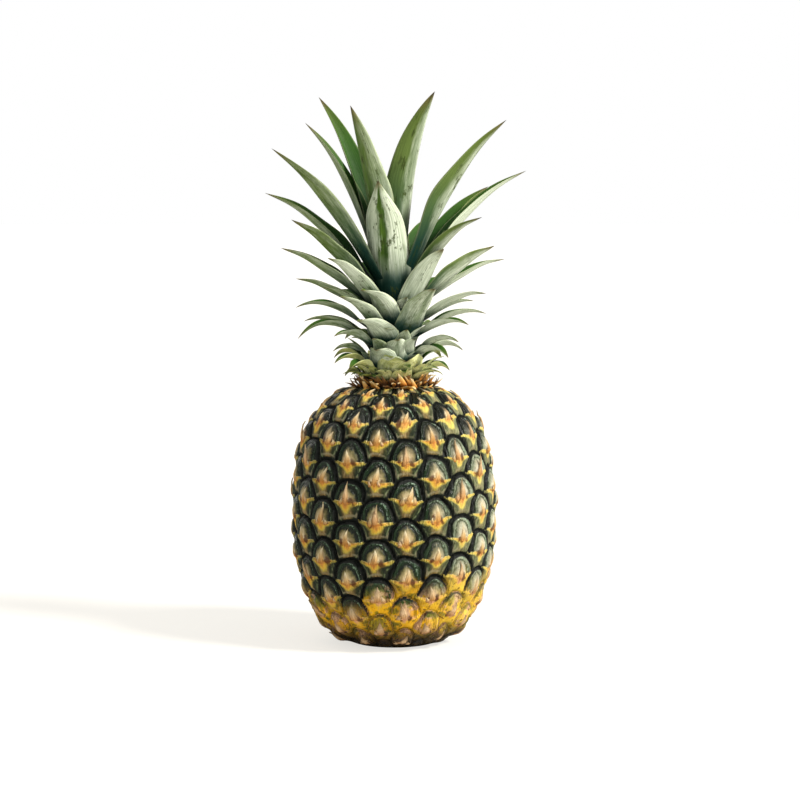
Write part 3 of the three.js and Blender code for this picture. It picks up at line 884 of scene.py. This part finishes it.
def make_bract_tips():
    """Thin pointed shells rooted under the lip of each star: a tall one in the middle, and on
    some eyes a short one at one side or both. Each lies on the eye's own relief, its edges sunk
    in the dome, and leans a little. The tall point stands off a few eyes far enough to show at
    the edge of the fruit."""
    column, row = np.meshgrid(np.arange(COLUMNS), np.arange(-1, 20), indexing="ij")
    s_star = FIRST_STAR + PITCH * (row + STAR_UP - column * STEPS_DOWN / COLUMNS)
    keep = (s_star > 4) & (s_star < SIDE_LENGTH - 9)
    column, row, s_star = column[keep], row[keep], s_star[keep]
    every = (column, row, s_star)
    rows, columns = BRACT_GRID
    t = np.linspace(0, 1, rows)[None, :, None]
    c = np.linspace(-1, 1, columns)[None, None, :]
    shells, fields = [], {"along": [], "across": [], "tone": [], "dry": []}
    for side in (0, -1, 1):
        present = eye_chance(every[0], every[1], 3 + side) > (0.62 if side else -1)
        column, row, s_star = (values[present] for values in every)
        z = np.interp(s_star, even_s, even_z)
        centre = FIRST_COLUMN + column * COLUMN_ANGLE
        turn, slide = sway(centre, s_star)
        high = ease((s_star - 118) / 40)[:, None, None]
        chance = [eye_chance(column, row, i) * (1 + 3.7 * abs(side)) % 1 for i in range(6)]
        chance = [values[:, None, None] for values in chance]
        wisp = (chance[5] > 0.74) & (high < 0.6) & (side == 0)
        length = 9.0 + 2.5 * chance[2] - 1.5 * high + 2.5 * wisp - abs(side) * (6.0 - 1.5 * chance[4])
        belly = (1 - t) ** 0.8 * (1 + 0.5 * np.sin(math.pi * t))
        half = (1.9 + 0.7 * chance[0] - 1.0 * abs(side)) * belly + 0.1
        ripe = ripeness(centre, z, eye_chance(column, row, 1))
        half = half * np.where(wisp, 1 - 0.6 * t, 1) * (1 - 0.35 * high)
        half = half * (1 + 0.3 * ripe[:, None, None])
        lean = np.tan(np.radians(30 * (chance[3] - 0.5) - side * 10 * chance[2]))
        up = -2.2 + t * length
        x = c * half + lean * np.maximum(up, 0) + 0.8 * np.sin(3 * t + 6 * chance[4]) * t
        x = x + side * (2.4 + chance[0])
        s = (s_star - slide)[:, None, None] + up + 0 * x
        theta = (centre - turn)[:, None, None] + x / np.interp(s, even_s, even_r)
        ground = skin_height(theta, s)[0]
        ground = ground + (ground.mean(2, keepdims=True) - ground) * 0.4
        lift = np.where(wisp, 3.4, 0.2 + 0.6 * high) * (0.35 + chance[4]) * t**2.2
        outer = ground - 0.22 + 0.75 * (1 - np.abs(c) ** 1.6) * np.sin(math.pi * (0.1 + 0.8 * t)) + lift
        outer = outer + 0.12 * np.sin(11 * c + 9 * t + 6 * chance[0]) * (1 - c**2)
        faces = [skin_place(theta, s, outer), skin_place(theta, s, outer - 0.5 + 0.3 * t)]
        points = np.stack(faces, axis=1)
        shells.append(points)
        dry = np.maximum(ripe[:, None, None] * 0.8, 0.6 * (chance[5] > 0.8))
        values = {"along": t, "across": c, "tone": chance[0], "dry": dry}
        for name, value in values.items():
            fields[name].append(np.broadcast_to(value[:, None], points.shape[:-1]))
    points = np.concatenate(shells)
    fields = {name: np.concatenate(values) for name, values in fields.items()}
    make_shells("bract_tips", points, BRACT_GRID, fields, bract_finish())


# Leaves

def stem_radius(height):
    up = np.clip((height - LEAF_LOWEST) / (LEAF_HIGHEST - LEAF_LOWEST), 0, 1)
    return between(STEM_FOOT_RADIUS, STEM_TIP_RADIUS, up**0.8)


def leaf_shell(leaf, rank, rows, columns, draw):
    """The two faces of a leaf. Its middle line is a quadratic curve in an upright plane through
    the axis, and across its width it is an arc. At the foot the arc bends round the stem, and
    further out it is a channel. The edges wave a little and the leaf twists slightly."""
    name, azimuth, reach, tip_height, width, fullness, arch, sweep = leaf
    t = (np.linspace(0, 1, rows) ** 0.9)[:, None]
    c = np.linspace(-1, 1, columns)[None, :]
    foot_height = between(LEAF_HIGHEST, LEAF_LOWEST, rank / (len(LEAVES) - 1))
    foot = np.array([stem_radius(foot_height) + CLEARANCE + FOOT_THICKNESS / 2, foot_height])
    tip = np.array([reach, tip_height])
    chord = tip - foot
    middle = between(foot, tip, BEND_AT) + 2 * arch * np.array([-chord[1], chord[0]])
    middle[0] = max(middle[0], foot[0])
    at = (1 - t) ** 2 * foot + 2 * t * (1 - t) * middle + t**2 * tip
    way = 2 * (1 - t) * (middle - foot) + 2 * t * (tip - middle)
    way = way / np.hypot(way[:, :1], way[:, 1:])
    droop = TIP_DROOP.get(name, SMALL_LEAF_DROOP if width < SMALL_LEAF else 0)
    at[:, 1:] -= droop * np.clip((t - 0.62) / 0.38, 0, 1) ** 2
    hump = TIP_HUMP if reach > LONG_REACH and width >= SMALL_LEAF else 0
    at[:, 1:] += hump * np.sin(math.pi * np.clip((t - 0.5) / 0.5, 0, 1)) ** 2
    out = ease(t / CHANNEL_FROM)
    rise = np.concatenate([-(1 - out) - out * way[:, 1:], out * way[:, :1]], 1)
    rise = rise / np.hypot(rise[:, :1], rise[:, 1:])
    broad = name.startswith("front")
    foot_share, full_from = (0.95, 0.3) if broad else (0.5, 0.5)
    half = width / 2 * (1 - t**fullness) * between(foot_share, 1, ease(t / full_from)) + 0.15
    half = half * (1 + 0.02 * np.sin(t * 17 + draw.uniform(0, 6)))
    if name == "front_01":
        half = half * (1 - 0.45 * ease((t - 0.6) / 0.4))
    keel = 0.0 if broad else 0.75
    fold = FOLD * (1 - 0.12 * ease((t - 0.5) / 0.5))
    turn = (1 - out) * np.minimum(half / at[:, :1], 1.5) + out * fold
    twist = np.radians(draw.uniform(-9, 9)) * t
    round_about = np.radians(azimuth + sweep * (1 - t))
    thick = between(1.5, 0.42, ease(t * 1.3)) / 2 * min(1.0, width / 18)
    thick = np.minimum(thick, 0.03 + 0.10 * half)
    ripple = draw.uniform(0.2, 0.45) * half / 10
    ripple = ripple * np.sin(t * draw.uniform(9, 15) + c * 1.5 + draw.uniform(0, 6))
    ripple = ripple * np.abs(c) ** 1.5 * ease(t / 0.3)
    faces = []
    for face in (-1, 1):
        sharp = keel * ease((t - 0.12) / 0.4)
        bend = turn * between(c, 0.80 * np.tanh(3.2 * c), sharp)
        depth = face * thick * (1 - 0.72 * c**2)
        across = half * running_sum(np.cos(bend), c) - depth * np.sin(bend)
        up = half * running_sum(np.sin(bend), c) + depth * np.cos(bend) + ripple
        turned = across * np.cos(twist) - up * np.sin(twist)
        up = across * np.sin(twist) + up * np.cos(twist)
        r = at[:, :1] + up * rise[:, :1]
        z = at[:, 1:] + up * rise[:, 1:]
        faces.append(about_axis(r, turned, z, round_about))
    return np.stack(faces), t, c


def make_leaves(leaf_skin, scale_skin):
    """Each leaf as its own closed shell, in place of the frame's plain leaf. The lowest have the
    yellower skin of the scales."""
    draw = np.random.default_rng(SEED + 1)
    for rank, leaf in enumerate(LEAVES):
        name, azimuth, width = leaf[0], leaf[1], leaf[4]
        rows, columns = SMALL_LEAF_GRID if width < SMALL_LEAF else BIG_LEAF_GRID
        points, t, c = leaf_shell(leaf, rank, rows, columns, draw)
        # Painted light: leaves facing the light, towards azimuth 60, and those on the right are paler,
        # more so towards their right edge
        light_side = 0.5 + 0.5 * math.cos(math.radians(azimuth - 60))
        usual = (
            0.20 + 0.65 * light_side**1.5 + 0.3 * name.startswith("right"),
            draw.uniform(0, 0.5), draw.uniform(0.2, 0.8), 0.15 + 0.5 * light_side,
        )
        pale, stripe, blotch, paler = LEAF_FINISH.get(name, usual)
        tone = draw.random()
        turned_right = np.clip(1.6 * c + 0.8, -1, 1) if name.startswith("right") else c
        skin = scale_skin if leaf[3] < LOW_LEAF else leaf_skin
        make_shells("blade_" + name, points[None], (rows, columns), {
            "along": t,
            "across": c,
            "outside": FRONT,
            "tone": tone,
            "pale": pale + paler * turned_right,
            "stripe": stripe,
            "blotch": blotch,
        }, skin, ["leaf_" + name])


# Scales and bracts

def blades(azimuth, radius, height, length, width, rise_foot, rise_tip, lean,
           cup, fullness, thickness, grid):
    """Thin pointed shells that start at a radius and height on the axis. Each middle line is an
    arc: its slope goes evenly from rise_foot to rise_tip, in degrees above level, and it strays
    sideways by lean for each unit of its length. Across, each is cupped towards the axis."""
    azimuth, radius, height, length, width, rise_foot, rise_tip, lean = (
        np.broadcast_to(np.asarray(v, float), np.shape(azimuth))[:, None, None]
        for v in (azimuth, radius, height, length, width, rise_foot, rise_tip, lean)
    )
    rows, columns = grid
    t = np.linspace(0, 1, rows)[None, :, None]
    c = np.linspace(-1, 1, columns)[None, None, :]
    a = np.radians(rise_foot)
    b = np.radians(rise_tip)
    spread = np.where(np.abs(b - a) < 1e-3, 1e-3, b - a)
    slope = a + spread * t
    r = radius + length * (np.sin(slope) - np.sin(a)) / spread
    z = height - length * (np.cos(slope) - np.cos(a)) / spread
    half = width / 2 * (1 - t**fullness) + 0.12
    inward = cup * half * (c**2)
    thick = thickness * (1 - 0.7 * t) * (1 - 0.5 * c**2)
    turn = np.radians(azimuth)
    faces = []
    for depth in (0, 1):
        move = inward + depth * thick
        across = c * half + lean * length * t**1.3
        faces.append(about_axis(r - move * np.sin(slope), across, z + move * np.cos(slope), turn))
    return np.stack(faces, 1), t[:, None], c[:, None]


def make_collar():
    """Rings of small dry bracts round the neck, from the shoulder up to the first scales."""
    draw = np.random.default_rng(SEED + 2)
    parts = []
    # Each ring's number of bracts, radius, height, their length and how steeply they rise
    for ring, (count, radius, height, length, rise) in enumerate([
        (30, 23.0, 150.5, 6.0, 44),
        (34, 21.0, 151.5, 7.0, 58),
        (34, 19.4, 152.5, 7.0, 70),
        (32, 18.2, 154.0, 7.0, 78),
    ]):
        azimuth = np.arange(count) * 360 / count + draw.uniform(-5, 5, count) + ring * 7
        parts.append([
            azimuth, np.full(count, radius) + draw.uniform(-0.8, 0.8, count),
            np.full(count, height) + draw.uniform(-0.8, 0.8, count),
            length * draw.uniform(0.5, 1.35, count), draw.uniform(1.8, 5.0, count),
            rise + draw.uniform(-26, 26, count), rise + draw.uniform(-90, 50, count),
            draw.uniform(-0.7, 0.7, count),
        ])
    parts = [np.concatenate(values) for values in zip(*parts)]
    azimuth = parts[0]
    points, along, across = blades(*parts, 0.35, 1.4, 0.7, COLLAR_GRID)
    # Painted light: bracts facing the light, towards azimuth 60, are more often the bright kind
    tone = draw.random(len(azimuth)) + 0.25 * np.cos(np.radians(azimuth - 60))
    make_shells("collar_spikes", points, COLLAR_GRID, {
        "along": along,
        "across": across,
        "tone": tone[:, None, None, None],
    }, collar_finish(), ["collar_bracts"])


def make_scales(leaf_skin, scale_skin):
    """The small scale leaves at the foot of the crown and up its stem, and the young leaves at
    its heart."""
    draw = np.random.default_rng(SEED + 3)
    up_stem = np.linspace(0, 1, 24)
    # Azimuth, radius, height, length, width, how steeply the foot and the tip rise, and paleness
    for name, azimuth, radius, height, length, width, foot, tip, pale in [
        ("basal_scales", np.arange(20) * 360 / 20 + 9, 17.8, 155.2, 13.0, 8.0, 62, -14, 0.45),
        ("low_scales", np.arange(18) * 360 / 18 + 2, 17.9, 157.6, 14.5, 10.0, 70, 4, 0.70),
        ("stem_scales", np.arange(24) * GROWTH_TURN, between(16.0, 9.0, up_stem),
         between(160, 190, up_stem), 19.0, 15.0, between(64, 84, up_stem), between(8, 50, up_stem),
         0.45),
        ("heart_leaves", np.arange(6) * GROWTH_TURN + 20, 2.2, 213.0, 24.0, 9.0, 86, 82, 0.5),
    ]:
        count = len(azimuth)
        skin = leaf_skin if name == "stem_scales" else scale_skin
        azimuth = azimuth + draw.uniform(-9, 9, count)
        length = length * draw.uniform(0.7, 1.2, count)
        width = width * draw.uniform(0.85, 1.1, count)
        foot = foot + draw.uniform(-12, 12, count)
        tip = tip + draw.uniform(-40, 30, count)
        lean = draw.uniform(-0.25, 0.25, count)
        points, along, across = blades(azimuth, radius, height, length, width, foot, tip, lean,
                                       0.42, 1.7, 0.8, SCALE_GRID)
        tone = draw.random(count)
        # Painted light: scales facing the light, towards azimuth 60, are paler
        pale = pale + 0.6 * np.cos(np.radians(azimuth - 60)) + draw.uniform(-0.45, 0.45, count)
        make_shells(name, points, SCALE_GRID, {
            "along": along,
            "across": across,
            "outside": FRONT,
            "tone": tone[:, None, None, None],
            "pale": pale[:, None, None, None],
            "stripe": 0,
            "blotch": 0.5,
        }, skin)


make_rind()
make_bract_tips()
white_bloom = [(0.3, "bccaa8"), (0.7, "eaf2de")]
yellow_bloom = [(0.3, "e4ea86"), (0.7, "fafcc8")]
leaf_skin = leaf_finish("leaf_skin", "102a24", "486238", "667c3c", 0.13, 0.42, white_bloom)
scale_skin = leaf_finish("scale_skin", "3c4418", "747c2c", "b0b658", 0.02, 0.34, yellow_bloom)
make_leaves(leaf_skin, scale_skin)
make_collar()
make_scales(leaf_skin, scale_skin)
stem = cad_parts["crown_stem"]
stem.data.materials.clear()
stem.data.materials.append(stem_shade_finish())


# Floor, light and camera

FLOOR_RADIUS = 30
FLOOR_SIDES = 96


def plain_to_camera(tree, usual, plain, end):
    """Joins two shaders to the end: the camera sees the plain one, and all else gets the light
    of the usual one."""
    ray = tree.nodes.new("ShaderNodeLightPath")
    choose = tree.nodes.new("ShaderNodeMixShader")
    tree.links.new(ray.outputs["Is Camera Ray"], choose.inputs[0])
    tree.links.new(usual.outputs[0], choose.inputs[1])
    tree.links.new(plain.outputs[0], choose.inputs[2])
    tree.links.new(choose.outputs[0], tree.nodes[end].inputs["Surface"])


def make_floor():
    """A wide round floor at the height that the fruit stands on, FLOOR_RADIUS in metres."""
    angle = np.linspace(0, 2 * math.pi, FLOOR_SIDES, endpoint=False)
    points = FLOOR_RADIUS * np.stack([np.cos(angle), np.sin(angle), 0 * angle], -1)
    mesh = bpy.data.meshes.new("floor")
    mesh.from_pydata(points.tolist(), [], [list(range(FLOOR_SIDES))])
    finish = bpy.data.materials.new("floor_paper")
    finish.use_nodes = True
    tree = finish.node_tree
    paper = tree.nodes["Principled BSDF"]
    paper.inputs["Base Color"].default_value = (0.56, 0.55, 0.52, 1)
    paper.inputs["Roughness"].default_value = 0.9
    lit = tree.nodes.new("ShaderNodeBsdfPrincipled")
    lit.inputs["Base Color"].default_value = (0.34, 0.33, 0.31, 1)
    lit.inputs["Roughness"].default_value = 0.9
    lit.inputs["Specular IOR Level"].default_value = 0.0
    lit.inputs["Emission Color"].default_value = (1, 0.98, 0.93, 1)
    lit.inputs["Emission Strength"].default_value = 0.70
    plain_to_camera(tree, paper, lit, "Material Output")
    mesh.materials.append(finish)
    floor = bpy.data.objects.new("floor", mesh)
    bpy.context.scene.collection.objects.link(floor)


def make_world():
    """A slightly warm sky, brighter to the right and front, seen as plain white behind the fruit."""
    world = bpy.data.worlds.new("studio")
    bpy.context.scene.world = world
    world.use_nodes = True
    tree = world.node_tree
    sky = tree.nodes["Background"]
    sky.inputs["Color"].default_value = (1.0, 0.985, 0.96, 1)
    way = tree.nodes.new("ShaderNodeTexCoord")
    side_light = tree.nodes.new("ShaderNodeVectorMath")
    side_light.operation = "DOT_PRODUCT"
    side_light.inputs[1].default_value = (0.75, -0.45, 0.48)
    tree.links.new(way.outputs["Generated"], side_light.inputs[0])
    level = tree.nodes.new("ShaderNodeMapRange")
    level.inputs["From Min"].default_value = -1.0
    level.inputs["To Min"].default_value = 0.20
    level.inputs["To Max"].default_value = 0.72
    tree.links.new(side_light.outputs["Value"], level.inputs["Value"])
    tree.links.new(level.outputs[0], sky.inputs["Strength"])
    white = tree.nodes.new("ShaderNodeBackground")
    white.inputs["Color"].default_value = (1, 1, 1, 1)
    white.inputs["Strength"].default_value = 1.0
    plain_to_camera(tree, sky, white, "World Output")


def make_sun(name, azimuth, elevation, strength, angle, colour):
    """A sun that shines from an azimuth and an elevation, in degrees."""
    light = bpy.data.lights.new(name, "SUN")
    light.energy = strength
    light.angle = math.radians(angle)
    light.color = colour
    lamp = bpy.data.objects.new(name, light)
    lamp.rotation_euler = (math.radians(90 - elevation), 0, math.radians(azimuth))
    bpy.context.scene.collection.objects.link(lamp)


make_floor()
make_world()
make_sun("key_light", 64, 40, 4.4, 12, (1.0, 0.97, 0.91))
make_sun("fill_light", -40, 25, 0.25, 40, (0.94, 0.97, 1.0))
make_sun("back_light", 215, 35, 0.8, 60, (1.0, 0.98, 0.94))

# The camera looks 5 degrees down at the middle of the picture, 1.3 m away
LOOK_DOWN = math.radians(5)
TARGET = np.array([3.5, 0, 142.8]) * MM
DISTANCE = 1.3
PICTURE_WIDTH = 0.4704
camera_data = bpy.data.cameras.new("camera")
camera_data.sensor_width = 36
camera_data.lens = camera_data.sensor_width * DISTANCE / PICTURE_WIDTH
camera = bpy.data.objects.new("camera", camera_data)
camera.location = TARGET + DISTANCE * np.array([0, -math.cos(LOOK_DOWN), math.sin(LOOK_DOWN)])
camera.rotation_euler = (math.pi / 2 - LOOK_DOWN, 0, 0)
bpy.context.scene.collection.objects.link(camera)
bpy.context.scene.camera = camera
bpy.context.scene.view_settings.view_transform = "Standard"
